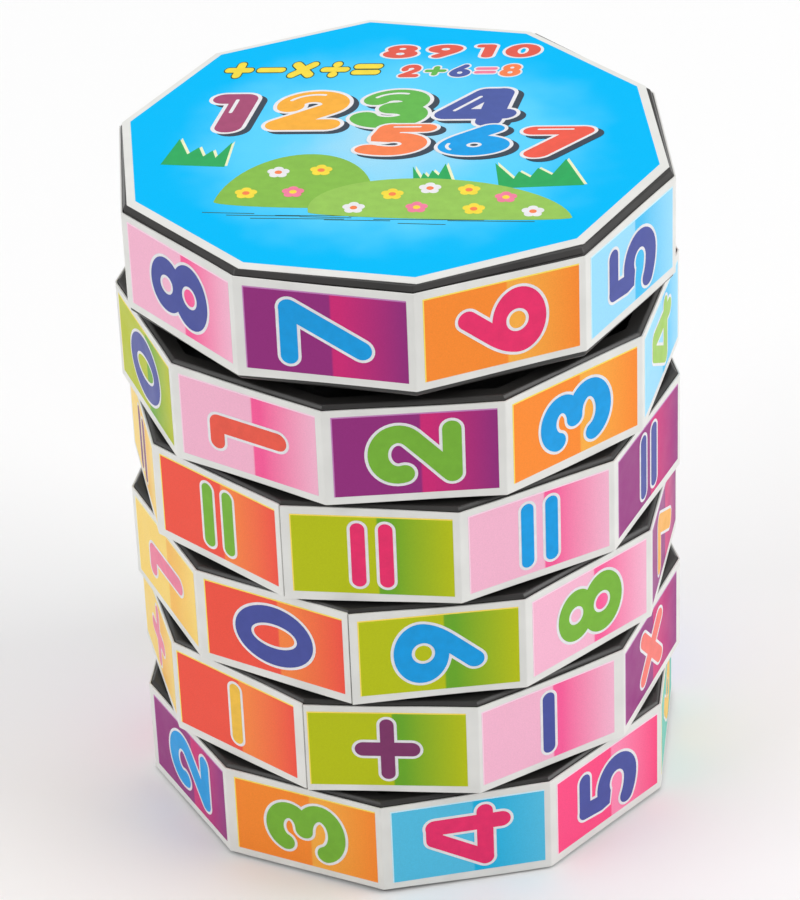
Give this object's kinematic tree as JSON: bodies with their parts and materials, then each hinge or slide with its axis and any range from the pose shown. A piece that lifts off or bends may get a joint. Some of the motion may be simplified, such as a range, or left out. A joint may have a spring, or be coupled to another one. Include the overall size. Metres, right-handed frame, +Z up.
{
  "type": "number cylinder puzzle",
  "caption": "Stack of ten-sided black plastic cups with printed number strips, turning on a central spindle to line up sums.",
  "frame": {"origin": "on the spindle's axis, at the flat underside of the base cup, which the puzzle stands on", "axes": "+Z up along the spindle, towards the lid; -Y points out of the middle of one side of the base"},
  "size_m": [0.06, 0.06, 0.0754],
  "materials": {
    "black_plastic": "satin moulded black plastic",
    "white_plastic": "plain moulded white plastic",
    "printed_label": "coated white paper strip with ten printed colour panels",
    "printed_sticker": "coated paper sticker, printed sky blue with a white border",
    "steel": "bright zinc-plated steel"
  },
  "bodies": {
    "base": {"base_cup": "black_plastic", "base_label": "printed_label", "spindle": "white_plastic", "foot_screw": "steel", "lower_washer": "steel", "tension_spring": "steel", "upper_washer": "steel", "top_screw": "steel"},
    "layer_5": {"layer_5_cup": "black_plastic", "layer_5_label": "printed_label"},
    "layer_4": {"layer_4_cup": "black_plastic", "layer_4_label": "printed_label"},
    "layer_3": {"layer_3_cup": "black_plastic", "layer_3_label": "printed_label"},
    "layer_2": {"layer_2_cup": "black_plastic", "layer_2_label": "printed_label"},
    "top": {"top_cup": "black_plastic", "top_label": "printed_label", "top_lid": "black_plastic", "top_sticker": "printed_sticker"}
  },
  "joints": [
    {"name": "layer_5_turn", "type": "hinge", "parent": "base", "child": "layer_5", "pos_m": [0, 0, 0.0183], "axis": [0, 0, 1], "continuous": true},
    {"name": "layer_4_turn", "type": "hinge", "parent": "base", "child": "layer_4", "pos_m": [0, 0, 0.0306], "axis": [0, 0, 1], "continuous": true},
    {"name": "layer_3_turn", "type": "hinge", "parent": "base", "child": "layer_3", "pos_m": [0, 0, 0.0429], "axis": [0, 0, 1], "continuous": true},
    {"name": "layer_2_turn", "type": "hinge", "parent": "base", "child": "layer_2", "pos_m": [0, 0, 0.0552], "axis": [0, 0, 1], "continuous": true},
    {"name": "top_turn", "type": "hinge", "parent": "base", "child": "top", "pos_m": [0, 0, 0.0685], "axis": [0, 0, 1], "continuous": true}
  ]
}
